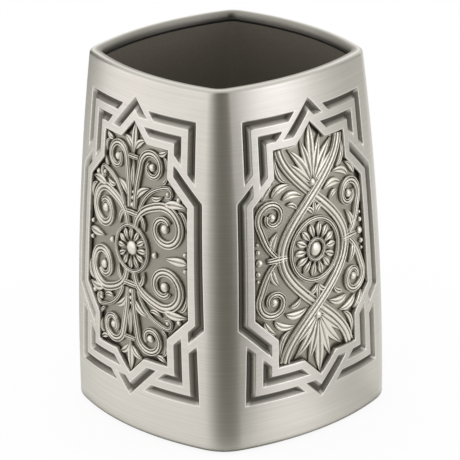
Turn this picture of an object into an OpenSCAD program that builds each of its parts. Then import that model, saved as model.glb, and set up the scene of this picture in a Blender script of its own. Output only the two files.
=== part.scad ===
// Square metal tumbler with bowed, swelling sides. A cast shell carries an interlaced
// strap frame on each side. Four relief panels sit in windows inside the frames, a liner
// stands inside under the rim's lip, and a plate with a soft pad closes the foot.
// Origin: middle of the foot, on the table. +Z up, front side towards -Y. Millimetres.

/* [Body] */
// Height from the table to the rim
height = 110; // [96:1:130]
// Width across the sides at the foot
foot_width = 80.4; // [76:0.2:90]
// Width across the sides at the rim
rim_width = 68.8; // [66:0.2:76]
// Swell of the wall beyond a straight taper, at mid height
belly = 1.7; // [0.4:0.1:2.6]
// Plan radius of the bowed sides at the rim
side_radius = 78.4; // [70:0.2:100]
// Plan radius of the upright corners at the rim
corner_radius = 7.4; // [6.4:0.1:9]
// Thickness of the cast wall
wall = 2.4; // [2.2:0.1:3]
// Radius of the outer bottom edge
foot_round = 1.4; // [0.6:0.1:1.6]

/* [Rim] */
// How far the lip reaches in past the liner's inner face
lip_cover = 0.05; // [0:0.05:0.6]
// Height of the lip that the rim turns inwards
lip_height = 2.2; // [1.6:0.1:4]
// Radius of the rim's outer edge
rim_round = 1.1; // [0.5:0.1:1.6]
// Radius of the rim's inner edge
lip_round = 0.5; // [0.2:0.1:0.9]

/* [Strap frame] */
// Height of the frames' centre above the table
frame_z = 57.5; // [54:0.5:60]
// Half height of the relief field at its points
field_point = 38.8; // [36:0.2:40]
// Half height of the field's square ends
field_end = 32.9; // [30:0.1:34]
// Half width of the field's square ends
field_neck = 14.6; // [13:0.1:16]
// Half width of the field at its waist
field_waist = 22; // [20:0.1:22.6]
// Reach of the field's cut corners: across plus up, from the centre
field_cut = 39; // [37:0.1:41]
// Width of a strap
strap = 2.4; // [1.8:0.1:2.8]
// Width of a groove
groove = 2.6; // [2:0.1:2.8]
// Width of the plain margin beside a strap that passes over
margin = 2.05; // [1.2:0.05:2.4]
// Depth of a groove
groove_depth = 1.4; // [0.8:0.1:1.6]
// Narrowing of the frame for each millimetre of height
frame_lean = 0.00165; // [0:0.0001:0.0025]

/* [Relief panels] */
// Thickness of a panel under its ground
panel_plate = 1.1; // [0.9:0.1:1.4]
// Thickness of a panel's edge, in the rebate behind the frame
panel_edge = 0.9; // [0.6:0.1:0.9]
// Width of that rebate
rebate = 1.2; // [0.8:0.1:1.6]
// Height of the ornament above its ground
relief = 1.05; // [0.5:0.05:1.1]
// Width of the main scrolls' bands
band = 3; // [2.2:0.1:3.2]
// Clearance round a panel
panel_gap = 0.15; // [0.05:0.05:0.3]
// Radius of the rosette among the scrolls
scroll_rosette = 7; // [6:0.1:7.4]
// Radius of the rosette inside the braid
braid_rosette = 9.3; // [8.4:0.1:9.6]
// Width of the ring round a rosette
ring_width = 1.4; // [1:0.1:1.8]
// Width of the braid's bands
braid_band = 3.5; // [2.6:0.1:3.6]
// How far the braid's bands swing out from the middle
braid_width = 12.6; // [11.8:0.1:12.7]
// Height of one loop of the braid
braid_length = 34; // [32:0.5:36]

/* [Liner] */
// Thickness of the liner's wall
liner_wall = 0.9; // [0.7:0.1:1.4]
// Thickness of the liner's floor
liner_floor = 1.2; // [0.8:0.1:2]
// How far the middle of the liner's floor is raised
floor_rise = 0.2; // [0.1:0.1:0.6]
// Inner radius between the liner's wall and floor
liner_round = 4; // [2:0.5:5]
// Clearance between the liner and the shell
liner_gap = 0.15; // [0.1:0.05:0.4]
// Thickness of the seal between the liner and the lip
seal = 0.5; // [0.3:0.1:1]

/* [Foot] */
// Thickness of the base plate
base_thick = 2; // [1.2:0.1:3]
// Depth of the rebate that the base plate seats in
base_ledge = 0.6; // [0.4:0.1:0.7]
// Clearance round the base plate and the pad
base_gap = 0.1; // [0.05:0.05:0.3]
// Thickness of the pad
pad_thick = 1.3; // [0.9:0.1:2]
// How far the pad stands below the shell
pad_proud = 0.5; // [0.3:0.1:0.8]

/* [Hidden] */
$fn = 180;

// Heights of the seats, from the table up
shell_foot = pad_proud;
base_top = pad_thick + base_thick;
lip_under = height - lip_height;
liner_top = lip_under - seal;

// Insets from the outer wall, measured level
liner_out = wall + liner_gap;
liner_in = liner_out + liner_wall;
rim_in = liner_in + lip_cover;
ground_in = wall - panel_plate;
edge_in = wall - panel_edge;
base_in = wall - base_ledge;

// Plan: every level is the same outline, moved in or out. The sides turn about axes beyond
// the opposite sides, and the corners about four axes inside the body.
rim_half = rim_width / 2;
foot_half = foot_width / 2;
bow_axis = side_radius - rim_half;
core = rim_half - corner_radius;
corner_axis = (sqrt(2 * pow(bow_axis + core, 2) - pow(bow_axis, 2)) - bow_axis) / 2;
side_turn = atan2(corner_axis, corner_axis + bow_axis);
diagonal = sqrt(2);

wall_steps = 8;   // straight steps along the swelling wall
round_steps = 6;  // straight steps round a small edge
corner_lap = 2;   // how far the corners run into the sides, in degrees
corner_tuck = 0.02; // how far the corners lie inside the sides there
reach = 3;        // how far cutting tools run past the outer wall
face_start = 18;  // where a side's cutting tools start, from the middle of the body
fill_overlap = 1; // how far the liner's floor runs into its edge ring

// Half the width across the sides at a height
function half_width(z) =
    let (s = (z - shell_foot) / (height - shell_foot))
    foot_half + (rim_half - foot_half) * s + 4 * belly * s * (1 - s);

// Points up or down the wall, at an inset from its outer face
function wall_line(inset, z1, z2) =
    [for (i = [0:wall_steps]) let (z = z1 + (z2 - z1) * i / wall_steps) [half_width(z) - inset, z]];

// Points round a small edge
function edge_arc(x, z, r, a1, a2) =
    [for (i = [0:round_steps]) let (a = a1 + (a2 - a1) * i / round_steps) [x + r * cos(a), z + r * sin(a)]];

// Leaves out points that repeat the one before
function distinct(points) =
    [for (i = [0:len(points) - 1]) if (i == 0 || norm(points[i] - points[i - 1]) > 0.001) points[i]];

// Section between two insets
function layer(inset1, inset2, z1, z2) = concat(wall_line(inset1, z1, z2), wall_line(inset2, z2, z1));

// One side of the body swept from a section; side 0 is the front, then right, back and left
module side_sweep(section, side) {
    rotate(90 * (side - 1)) translate([-bow_axis, 0, 0]) rotate(-side_turn)
        rotate_extrude(angle = 2 * side_turn)
            polygon([for (p = section) [p[0] + bow_axis, p[1]]]);
}

// A section swept all round the body
module sweep(section) {
    for (side = [0:3]) {
        side_sweep(section, side);
        rotate(90 * side) translate([corner_axis, corner_axis, 0]) rotate(side_turn - corner_lap)
            rotate_extrude(angle = 90 - 2 * (side_turn - corner_lap))
                polygon([for (p = section) [p[0] - core - corner_tuck, p[1]]]);
    }
}

// Flat plate of the body's plan, with its edge at a half width
module plan_plate(half, z1, z2) {
    corner = half - core;
    chord = corner_axis * diagonal + corner * cos(45 - side_turn);
    translate([0, 0, z1]) linear_extrude(z2 - z1) {
        intersection() {
            intersection_for (side = [0:3])
                rotate(90 * side) translate([-bow_axis, 0]) circle(bow_axis + half);
            rotate(45) square(2 * chord, center = true);
        }
        for (side = [0:3])
            rotate(90 * side) translate([corner_axis, corner_axis]) circle(corner - corner_tuck);
    }
}

// Shape drawn flat on a side, across and up from the frame's centre, cut outwards from the body
module through_side(side) {
    rotate([90, 0, 90 * side]) translate([0, 0, face_start]) linear_extrude(foot_half + reach - face_start)
        translate([0, frame_z]) children();
}

// A frame narrows with height, as the wall does
function leaned(points) = [for (p = points) [p[0] * (1 - frame_lean * p[1]), p[1]]];

function mirrored(points) = [for (i = [len(points) - 1:-1:0]) [-points[i][0], points[i][1]]];
function turned(points) = [for (p = points) -p];

// Lines of the frame, each moved out from the field's edge
function point_line(out) = field_point + out * diagonal;
function cut_line(out) = field_cut + out * diagonal;

// Relief field, moved out all round: pointed ends, square necks and a wide waist
function field_outline(out) =
    let (point = point_line(out), end = field_end + out, neck = field_neck + out,
         cut = cut_line(out), waist = field_waist + out,
         quarter = [[waist, cut - waist], [neck, cut - neck], [neck, end], [point - end, end]],
         upper = concat(quarter, [[0, point]], mirrored(quarter)))
    leaned(concat(upper, turned(upper)));

// Edges of the two straps: the inner one runs round the field, the outer one is square
inner_neck = field_neck + strap;
inner_end = field_end + strap;
over = strap + groove;
beyond = over + margin;
square_in = [inner_neck + groove, inner_end + groove];
square_out = square_in + [strap, strap];
square_edge = square_out + [groove, groove];

// Groove outside a corner of the square strap, stopped short of the inner strap's margins
outer_corner = [
    [point_line(beyond) - square_edge[1], square_edge[1]], square_edge,
    [square_edge[0], cut_line(beyond) - square_edge[0]], [square_out[0], cut_line(beyond) - square_out[0]],
    square_out, [point_line(beyond) - square_out[1], square_out[1]]];

// Groove between the straps where the square strap passes over at the point and under at the side
inner_corner_right = [
    [point_line(strap) - square_in[1], square_in[1]], square_in,
    [square_in[0], cut_line(beyond) - square_in[0]], [inner_neck, cut_line(beyond) - inner_neck],
    [inner_neck, inner_end], [point_line(strap) - inner_end, inner_end]];

// The same groove where the square strap passes under at the point and over at the side
inner_corner_left = [
    [-square_in[0], square_in[1]], [square_in[1] - point_line(beyond), square_in[1]],
    [inner_end - point_line(beyond), inner_end], [-inner_neck, inner_end],
    [-inner_neck, cut_line(strap) - inner_neck], [-square_in[0], cut_line(strap) - square_in[0]]];

// Bent groove over the field's point: it crosses the square strap on the left only
point_groove = [
    [inner_end - point_line(over), inner_end], [0, point_line(over)],
    [point_line(over) - square_out[1], square_out[1]], [point_line(strap) - square_out[1], square_out[1]],
    [0, point_line(strap)], [inner_end - point_line(strap), inner_end]];

// Long groove outside the waist: it crosses the square strap at its upper end only
waist_in = field_waist + strap;
waist_out = field_waist + over;
waist_groove = [
    [inner_neck, cut_line(over) - inner_neck], [waist_out, cut_line(over) - waist_out],
    [waist_out, waist_out - cut_line(over)], [square_out[0], square_out[0] - cut_line(over)],
    [square_out[0], square_out[0] - cut_line(strap)], [waist_in, waist_in - cut_line(strap)],
    [waist_in, cut_line(strap) - waist_in], [inner_neck, cut_line(strap) - inner_neck]];

module frame_grooves() {
    half_turn = [inner_corner_right, inner_corner_left, point_groove, waist_groove,
                 outer_corner, mirrored(outer_corner)];
    for (outline = half_turn) {
        polygon(leaned(outline));
        polygon(leaned(turned(outline)));
    }
}

// Ornament: bands, scrolls and leaves along paths, across and up from the frame's centre
lead_steps = 7;    // straight steps along a stem
volute_steps = 24; // straight steps round a scroll
leaf_steps = 8;    // straight steps along a leaf
stem_pull = 0.4;   // how far a stem keeps its first and last way, as a share of its span
function unit(v) = v / norm(v);
function across(path, i) =
    let (a = path[max(i - 1, 0)], b = path[min(i + 1, len(path) - 1)], d = unit(b - a)) [-d[1], d[0]];

// Outline of a band along a path, with its width at either end
function band_along(path, w1, w2) =
    let (n = len(path) - 1,
         half = [for (i = [0:n]) across(path, i) * (w1 + (w2 - w1) * i / n) / 2])
    concat([for (i = [0:n]) path[i] + half[i]], [for (i = [n:-1:0]) path[i] - half[i]]);

// A line that leaves one point one way and reaches another its own way
function curve(from, way, to, last_way, steps) =
    let (pull = norm(to - from) * stem_pull, p1 = from + unit(way) * pull, p2 = to - unit(last_way) * pull)
    [for (i = [0:steps]) let (t = i / steps, s = 1 - t)
        from * pow(s, 3) + p1 * 3 * s * s * t + p2 * 3 * s * t * t + to * pow(t, 3)];

// A stem that grows from its root and winds evenly into a spiral round an eye
function scroll(root, way, eye, r_out, r_in, start, sweep) =
    let (first = eye + r_out * [cos(start), sin(start)],
         heading = sign(sweep) * [-sin(start), cos(start)])
    concat(curve(root, way, first, heading, lead_steps),
           [for (i = [1:volute_steps]) let (t = i / volute_steps, a = start + sweep * t)
               eye + (r_out + (r_in - r_out) * t) * [cos(a), sin(a)]]);

// Outline of a leaf that leaves its root one way and bends to its tip
function leaf(root, tip, half, way) =
    let (path = curve(root, way, tip, 2 * unit(tip - root) - unit(way), leaf_steps),
         side = [for (i = [0:leaf_steps]) across(path, i) * half * sin(180 * i / leaf_steps)])
    concat([for (i = [0:leaf_steps]) path[i] + side[i]],
           [for (i = [leaf_steps - 1:-1:1]) path[i] - side[i]]);
function straight_leaf(root, tip, half) = leaf(root, tip, half, tip - root);

// Draws an outline on both sides and at both ends of the panel, or only on some of them
module drawn(outline, sides = [1, -1], ends = [1, -1]) {
    for (a = sides, b = ends)
        polygon(leaned([for (p = outline) [a * p[0], b * p[1]]]));
}

// Draws a round boss in the same way
module boss(p, radius, sides = [1, -1], ends = [1, -1]) {
    for (a = sides, b = ends)
        translate(leaned([[a * p[0], b * p[1]]])[0]) circle(radius);
}

// Rosette in the middle of the panel: a boss, petals and a ring round them
module rosette(radius, petals) {
    petal_root = radius * 0.38;
    petal_tip = radius * 0.87;
    petal_half = radius * 0.13;
    circle(radius * 0.33);
    for (i = [0:petals - 1]) let (way = [cos(360 * i / petals), sin(360 * i / petals)])
        polygon(straight_leaf(way * petal_root, way * petal_tip, petal_half));
    difference() {
        circle(radius + ring_width / 2);
        circle(radius - ring_width / 2);
    }
}

// Tips of the leaves that fill the field's ends and sides
end_tip = field_point - 0.5;
side_tip = field_waist - 0.3;

// Scroll ornament: scrolls that grow up and down from a rosette, with leaves between them
large_eye = [13.5, 8.85];
small_eye = [8, 26.2];
shoot_eye = [14.6, 19.6];
large_scroll = scroll(root = [1.7, scroll_rosette - 0.1], way = [0.1, 1], eye = large_eye,
                      r_out = 6.75, r_in = 2.2, start = 112, sweep = -430);
small_scroll = scroll(root = [1.25, 12.4], way = [0, 1], eye = small_eye,
                      r_out = 4.85, r_in = 1.6, start = 176, sweep = -400);
shoot = scroll(root = [3.4, 12.4], way = [0.35, 1], eye = shoot_eye,
               r_out = 1.95, r_in = 0.9, start = 112, sweep = -250);
lower_collar = [[-2.9, 10.9], [2.9, 10.9]];
upper_collar = [[-2.3, 27.9], [2.3, 27.9]];
collar_width = 1.7;
module scroll_ornament() {
    rosette(scroll_rosette, petals = 12);
    drawn(band_along(large_scroll, band, band * 0.65));
    drawn(band_along(small_scroll, band * 0.8, band * 0.55));
    drawn(band_along(shoot, band * 0.5, band * 0.4));
    boss(large_eye, radius = 1.5);
    boss(small_eye, radius = 1.25);
    drawn(leaf(root = [13.2, 16], tip = [21.4, 16.5], half = 1.45, way = [1, 0.35]));
    drawn(leaf(root = [2, 15.6], tip = [7.2, 19.6], half = 1.15, way = [0.4, 1]));
    drawn(leaf(root = [10.6, 30.9], tip = [14.1, 32.4], half = 0.95, way = [1, -0.1]));
    drawn(leaf(root = [0.8, 30.2], tip = [4.9, 33.5], half = 1.15, way = [0.3, 1]));
    drawn(straight_leaf(root = [0, 28.4], tip = [0, end_tip], half = 1.45), sides = [1]);
    drawn(straight_leaf(root = [0, 18.8], tip = [0, 27], half = 0.95), sides = [1]);
    drawn(straight_leaf(root = [13.6, 0], tip = [side_tip, 0], half = 1.45), ends = [1]);
    drawn(band_along(lower_collar, collar_width, collar_width), sides = [1]);
    drawn(band_along(upper_collar, collar_width, collar_width), sides = [1]);
}

// Braid ornament: two waving bands that cross twice, round a rosette, with scrolls outside
braid_end = field_end - 0.5;
braid_steps = 28; // straight steps along a band
braid_path = [for (i = [0:braid_steps]) let (v = (2 * i / braid_steps - 1) * braid_end)
    [braid_width * cos(180 * v / braid_length), v]];
braid_eye = [15.7, 12.9];
braid_scroll = scroll(root = [braid_width + 2, 0.9], way = [0.75, 0.66], eye = braid_eye,
                      r_out = 4.9, r_in = 1.6, start = -28, sweep = 410);
side_collar = [[braid_width - 1.6, 0], [braid_width + 5, 0]];
module braid_ornament() {
    rosette(braid_rosette, petals = 14);
    drawn(band_along(braid_path, braid_band, braid_band), ends = [1]);
    drawn(band_along(braid_scroll, band * 0.75, band * 0.55));
    drawn(band_along(side_collar, collar_width, collar_width), ends = [1]);
    boss(braid_eye, radius = 1.3);
    boss([0, 20.4], radius = 1.3, sides = [1]);
    boss([side_tip - 1.5, 0], radius = 1.2, ends = [1]);
    drawn(leaf(root = [18.9, 18.3], tip = [14.9, 22.9], half = 1.05, way = [-0.3, 1]));
    drawn(leaf(root = [11.8, 17.3], tip = [4.3, 17], half = 1.3, way = [-0.8, 0.6]));
    drawn(leaf(root = [15.6, 18.6], tip = [8.6, 21.4], half = 1.25, way = [-0.5, 0.9]));
    drawn(leaf(root = [0.5, 21.4], tip = [4.2, 34.2], half = 1.6, way = [0.2, 1]));
    drawn(leaf(root = [0.7, 21], tip = [9, 31.9], half = 1.6, way = [0.5, 1]));
    drawn(leaf(root = [0.9, 20.6], tip = [9.1, 27.9], half = 1.3, way = [0.9, 0.8]));
    drawn(straight_leaf(root = [0, 21.6], tip = [0, end_tip], half = 1.75), sides = [1]);
    drawn(straight_leaf(root = [0, 10.6], tip = [0, 15.4], half = 0.95), sides = [1]);
}

// One cast shell: bowed walls, rim with its lip, seat for the base plate, frames and windows
module outer_shell() {
    foot_x = half_width(shell_foot + foot_round) - foot_round;
    rim_x = half_width(height - rim_round) - rim_round;
    lip_x = rim_half - rim_in;
    section = distinct(concat(
        edge_arc(foot_x, shell_foot + foot_round, foot_round, -90, 0),
        wall_line(0, shell_foot + foot_round, height - rim_round),
        edge_arc(rim_x, height - rim_round, rim_round, 0, 90),
        edge_arc(lip_x + lip_round, height - lip_round, lip_round, 90, 180),
        [[lip_x, lip_under]],
        wall_line(wall, lip_under, base_top),
        [[half_width(base_top) - base_in, base_top], [half_width(shell_foot) - base_in, shell_foot]]));
    color("silver") difference() {
        sweep(section);
        intersection() {
            sweep(layer(groove_depth, -reach, shell_foot, height));
            for (side = [0:3]) through_side(side) frame_grooves();
        }
        for (side = [0:3]) {
            through_side(side) polygon(field_outline(0));
            intersection() {
                side_sweep(layer(wall + reach, edge_in, shell_foot, height), side);
                through_side(side) polygon(field_outline(rebate));
            }
        }
    }
}

// Cast relief panel: a bowed plate with a thin edge in the rebate, and raised ornament
module relief_panel(side) {
    color("darkgray") union() {
        intersection() {
            side_sweep(layer(wall, edge_in, shell_foot, height), side);
            through_side(side) polygon(field_outline(rebate - panel_gap));
        }
        intersection() {
            side_sweep(layer(wall, ground_in, shell_foot, height), side);
            through_side(side) polygon(field_outline(-panel_gap));
        }
        intersection() {
            side_sweep(layer(edge_in, ground_in - relief, shell_foot, height), side);
            through_side(side) intersection() {
                polygon(field_outline(-panel_gap));
                children();
            }
        }
    }
}

module relief_panel_front() { relief_panel(0) scroll_ornament(); }
module relief_panel_right() { relief_panel(1) braid_ornament(); }
module relief_panel_back() { relief_panel(2) scroll_ornament(); }
module relief_panel_left() { relief_panel(3) braid_ornament(); }

// Deep cup that follows the shell, open under the lip, with the middle of its floor raised
module inner_liner() {
    floor_top = base_top + liner_floor;
    outer_round = liner_round + liner_floor;
    out_x = half_width(base_top + outer_round) - liner_out - outer_round;
    in_x = half_width(floor_top + liner_round) - liner_in - liner_round;
    floor_x = core + fill_overlap;
    section = distinct(concat(
        [[floor_x, base_top]],
        edge_arc(out_x, base_top + outer_round, outer_round, -90, 0),
        wall_line(liner_out, base_top + outer_round, liner_top),
        wall_line(liner_in, liner_top, floor_top + liner_round),
        edge_arc(in_x, floor_top + liner_round, liner_round, 0, -90),
        [[floor_x, floor_top]]));
    color("dimgray") union() {
        sweep(section);
        plan_plate(floor_x + fill_overlap, base_top + floor_rise, floor_top + floor_rise);
    }
}

// Thin dark seal between the liner's edge and the underside of the lip
module rim_seal() {
    color("black") sweep([
        [half_width(liner_top) - liner_in, liner_top], [half_width(liner_top) - liner_out, liner_top],
        [half_width(lip_under) - liner_out, lip_under], [half_width(lip_under) - liner_in, lip_under]]);
}

// Flat plate pressed into the foot
module base_plate() {
    color("gray") plan_plate(half_width(shell_foot) - base_in - base_gap, pad_thick, base_top);
}

// Soft pad under the base plate
module base_pad() {
    color("dimgray") plan_plate(half_width(shell_foot) - base_in - base_gap, 0, pad_thick);
}

outer_shell();
relief_panel_front();
relief_panel_right();
relief_panel_back();
relief_panel_left();
inner_liner();
rim_seal();
base_plate();
base_pad();
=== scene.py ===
import math

import bmesh
import bpy
import numpy as np
from mathutils import Matrix, Vector
from mathutils.geometry import delaunay_2d_cdt


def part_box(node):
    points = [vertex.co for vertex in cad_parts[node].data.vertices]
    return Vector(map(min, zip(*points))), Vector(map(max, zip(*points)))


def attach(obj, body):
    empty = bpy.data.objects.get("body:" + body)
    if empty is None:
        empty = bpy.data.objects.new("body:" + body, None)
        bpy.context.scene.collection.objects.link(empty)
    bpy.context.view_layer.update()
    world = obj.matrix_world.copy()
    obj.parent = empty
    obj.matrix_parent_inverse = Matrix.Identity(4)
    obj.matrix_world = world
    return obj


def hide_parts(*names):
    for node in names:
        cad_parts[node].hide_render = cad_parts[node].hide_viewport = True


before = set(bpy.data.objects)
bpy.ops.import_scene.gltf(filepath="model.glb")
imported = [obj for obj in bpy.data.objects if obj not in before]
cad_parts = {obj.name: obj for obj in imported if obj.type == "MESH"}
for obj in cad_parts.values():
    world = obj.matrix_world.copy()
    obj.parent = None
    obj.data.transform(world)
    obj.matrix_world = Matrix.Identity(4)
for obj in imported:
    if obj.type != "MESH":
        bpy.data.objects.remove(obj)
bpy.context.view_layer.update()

# Outer shell: one casting of warm grey pewter-like metal, brushed level all round. Its sides bow in plan and
# swell in height, and the rim turns in to a lip. On each side two straps weave over and under each other,
# with sloped grooves cut between them, round a window that takes a relief panel from behind.

MM = 0.001  # sizes below are in millimetres, meshes in metres
shell_low, shell_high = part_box("outer_shell")
SHELL_FOOT = shell_low[2] / MM
HEIGHT = shell_high[2] / MM
SWELL = 0.04  # how far the belly stands past the foot
FOOT_HALF = shell_high[0] / MM - SWELL
RIM_HALF = 34.4
BELLY = 1.7
SIDE_RADIUS = 78.4
CORNER_RADIUS = 7.4
WALL = 2.4
FOOT_ROUND = 1.4
RIM_ROUND = 1.1
RIM_ROLL = 1.3  # how far the rim's rounding runs in over the top
RIM_IN = 3.5
LIP_HEIGHT = 2.2
LIP_ROUND = 1.2
BASE_TOP = 3.3
BASE_LEDGE = 0.6
WALL_LOW = SHELL_FOOT + FOOT_ROUND  # levels between which the outer face runs
WALL_HIGH = HEIGHT - RIM_ROUND
LIP_UNDER = HEIGHT - LIP_HEIGHT

BOW_AXIS = SIDE_RADIUS - RIM_HALF
CORE = RIM_HALF - CORNER_RADIUS
CORNER_AXIS = (math.sqrt(2 * (BOW_AXIS + CORE) ** 2 - BOW_AXIS ** 2) - BOW_AXIS) / 2
SIDE_TURN = math.atan2(CORNER_AXIS, CORNER_AXIS + BOW_AXIS)

SIDE_STEPS = 24
CORNER_STEPS = 16
EDGE_STEPS = 2  # steps of a corner that belong to the side next to it
WALL_LEVELS = 40
ROUND_STEPS = 8
EDGE_LENGTH = 1.6  # longest step along a groove's edge
CLEAR = 0.8  # how far the wall's own points stay from a groove
SAME_TURN = 1e-9  # directions, in radians, that are this close are one
SAME_POINT = 1e-5  # points of a flat outline that are this close are one
WELD = 0.002  # edges of patches that are this close are joined

corner_step = (math.pi / 2 - 2 * SIDE_TURN) / CORNER_STEPS
side_angles = np.linspace(-SIDE_TURN, SIDE_TURN, SIDE_STEPS + 1)
edge_angles = SIDE_TURN + corner_step * np.arange(1, EDGE_STEPS + 1)
plate_angles = np.concatenate([-edge_angles[::-1], side_angles, edge_angles])
corner_angles = SIDE_TURN + corner_step * np.arange(EDGE_STEPS, CORNER_STEPS - EDGE_STEPS + 1)
quarter_angles = np.concatenate([side_angles, SIDE_TURN + corner_step * np.arange(1, CORNER_STEPS)])


def half_width(z):
    s = (z - SHELL_FOOT) / (HEIGHT - SHELL_FOOT)
    return FOOT_HALF + (RIM_HALF - FOOT_HALF) * s + 4 * BELLY * s * (1 - s)


def plan_point(angle, half, z):
    """Points of the right side and its corners, by the direction that the wall faces in plan."""
    angle, half, z = np.broadcast_arrays(*(np.asarray(v, float) for v in (angle, half, z)))
    corner = np.abs(angle) > SIDE_TURN + SAME_TURN
    radius = np.where(corner, half - CORE, half + BOW_AXIS)
    x = np.where(corner, CORNER_AXIS, -BOW_AXIS) + radius * np.cos(angle)
    y = np.where(corner, CORNER_AXIS * np.sign(angle), 0) + radius * np.sin(angle)
    return np.stack([x, y, z], axis=-1)


def on_wall(u, z, depth):
    """Points of the right side: u across from its middle, z up, depth in from its outer face."""
    half = half_width(z)
    side = np.arcsin(np.clip(u / (half + BOW_AXIS), -1, 1))
    past = np.clip((np.abs(u) - CORNER_AXIS) / (half - CORE), -1, 1)
    angle = np.where(np.abs(side) > SIDE_TURN, np.sign(u) * np.arcsin(past), side)
    return plan_point(angle, half - depth, z)


def quarter_turns(points, side):
    """Turns points of the right side (1) to the back (2), the left (3) or the front (0)."""
    turn = Matrix.Rotation(math.radians(90 * (side - 1)), 3, "Z")
    return points @ np.array(turn).T


def plan_ring(half, z):
    quarter = plan_point(quarter_angles, half, z)
    return np.concatenate([quarter_turns(quarter, side) for side in range(1, 5)])


def loft(rings, closed=True):
    """Quads between neighbouring rows of as many points."""
    count = len(rings[0])
    last = count if closed else count - 1
    faces = []
    for r in range(len(rings) - 1):
        for i in range(last):
            j = (i + 1) % count
            faces.append((r * count + i, r * count + j, (r + 1) * count + j, (r + 1) * count + i))
    return np.concatenate(rings), faces


def arc(x, z, wide, high, first, last):
    """Section points round a small edge, by angle in degrees."""
    turns = np.radians(np.linspace(first, last, ROUND_STEPS + 1))
    return [(x + wide * math.cos(a), z + high * math.sin(a)) for a in turns]


def inside(points, loop):
    """Which points lie inside a closed outline."""
    x, y = points[:, 0:1], points[:, 1:2]
    x1, y1 = loop[:, 0], loop[:, 1]
    x2, y2 = np.roll(x1, -1), np.roll(y1, -1)
    rise = np.where(y2 == y1, 1, y2 - y1)
    crosses = ((y1 > y) != (y2 > y)) & (x < x1 + (y - y1) * (x2 - x1) / rise)
    return crosses.sum(axis=1) % 2 == 1


def distance_to(points, loop):
    start, end = loop, np.roll(loop, -1, axis=0)
    along = end - start
    share = ((points[:, None] - start) * along).sum(-1) / (along ** 2).sum(-1)
    nearest = start + np.clip(share, 0, 1)[..., None] * along
    return np.linalg.norm(points[:, None] - nearest, axis=-1).min(axis=1)


def triangles(border, holes=(), extra=()):
    """Flat triangles inside a border and outside its holes, with extra points among them."""
    loops, first = [], 0
    for loop in (border, *holes):
        loops.append(list(range(first, first + len(loop))))
        first += len(loop)
    points = np.concatenate([border, *holes, *([extra] if len(extra) else [])])
    result = delaunay_2d_cdt([Vector(point) for point in points], [], loops, 1, SAME_POINT)
    flat = np.array(result[0], float).reshape(-1, 2)
    return flat, [face for face, within in zip(result[2], result[5]) if list(within) == [0]]


def side_plate(levels, depth, holes):
    """One side of the wall at a depth, open at the holes."""
    def at(angle, z):
        return np.stack(np.broadcast_arrays(plan_point(angle, half_width(z), z)[..., 1], z), axis=-1)
    right = at(plate_angles[-1], levels[1:])
    border = np.concatenate([at(plate_angles, levels[0]), right,
                             at(plate_angles[-2::-1], levels[-1]), right[-2::-1] * (-1, 1)])
    grid = np.concatenate([at(plate_angles[1:-1], z) for z in levels[1:-1]])
    for hole in holes:
        grid = grid[~inside(grid, hole)]
        grid = grid[distance_to(grid, hole) > CLEAR]
    flat, faces = triangles(border, holes, grid)
    return on_wall(flat[:, 0], flat[:, 1], depth), faces


# The frame's lines, each moved out from the edge of the relief field, as on a drawing of one flat side.
FRAME_Z = 57.5
FIELD_POINT = 38.8
FIELD_END = 32.9
FIELD_NECK = 14.6
FIELD_WAIST = 22.0
FIELD_CUT = 39.0
STRAP = 2.4
GROOVE = 2.6
MARGIN = 2.05
FRAME_LEAN = 0.00165
OVER = STRAP + GROOVE
BEYOND = OVER + MARGIN


def point_line(out):
    return FIELD_POINT + out * math.sqrt(2)


def on_point(out, v):
    """Where the sloped line at the field's point, moved out, is at a height."""
    return point_line(out) - v, v


def on_cut(out, u):
    """Where the sloped line that cuts the field's corner, moved out, is at a place across."""
    return u, FIELD_CUT + out * math.sqrt(2) - u


def leaned(points):
    """Puts points drawn about the frame's centre on the side, which narrows upwards."""
    points = np.asarray(points, float)
    return np.stack([points[:, 0] * (1 - FRAME_LEAN * points[:, 1]), points[:, 1] + FRAME_Z], axis=-1)


def mirrored(points):
    return [(-u, v) for u, v in reversed(points)]


def turned(points):
    return [(-u, -v) for u, v in points]


def field_outline():
    quarter = [on_cut(0, FIELD_WAIST), on_cut(0, FIELD_NECK),
               (FIELD_NECK, FIELD_END), on_point(0, FIELD_END)]
    upper = quarter + [(0, FIELD_POINT)] + mirrored(quarter)
    return leaned(upper + turned(upper))


def groove_outlines():
    """Outlines of the twelve grooves of one side, in which neither strap runs."""
    neck, end = FIELD_NECK + STRAP, FIELD_END + STRAP
    in_u, in_v = neck + GROOVE, end + GROOVE
    out_u, out_v = in_u + STRAP, in_v + STRAP
    edge_u, edge_v = out_u + GROOVE, out_v + GROOVE
    waist_in, waist_out = FIELD_WAIST + STRAP, FIELD_WAIST + OVER
    outer_corner = [
        on_point(BEYOND, edge_v), (edge_u, edge_v), on_cut(BEYOND, edge_u),
        on_cut(BEYOND, out_u), (out_u, out_v), on_point(BEYOND, out_v)]
    inner_right = [
        on_point(STRAP, in_v), (in_u, in_v), on_cut(BEYOND, in_u),
        on_cut(BEYOND, neck), (neck, end), on_point(STRAP, end)]
    inner_left = mirrored([
        on_cut(STRAP, in_u), on_cut(STRAP, neck), (neck, end),
        on_point(BEYOND, end), on_point(BEYOND, in_v), (in_u, in_v)])
    point = [
        *mirrored([on_point(OVER, end)]), (0, point_line(OVER)), on_point(OVER, out_v),
        on_point(STRAP, out_v), (0, point_line(STRAP)), *mirrored([on_point(STRAP, end)])]
    below = [on_cut(OVER, waist_out), on_cut(OVER, out_u), on_cut(STRAP, out_u), on_cut(STRAP, waist_in)]
    waist = [
        on_cut(OVER, neck), on_cut(OVER, waist_out), *((u, -v) for u, v in below),
        on_cut(STRAP, waist_in), on_cut(STRAP, neck)]
    half = [inner_right, inner_left, point, waist, outer_corner, mirrored(outer_corner)]
    return [leaned(shape) for outline in half for shape in (outline, turned(outline))]


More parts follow.
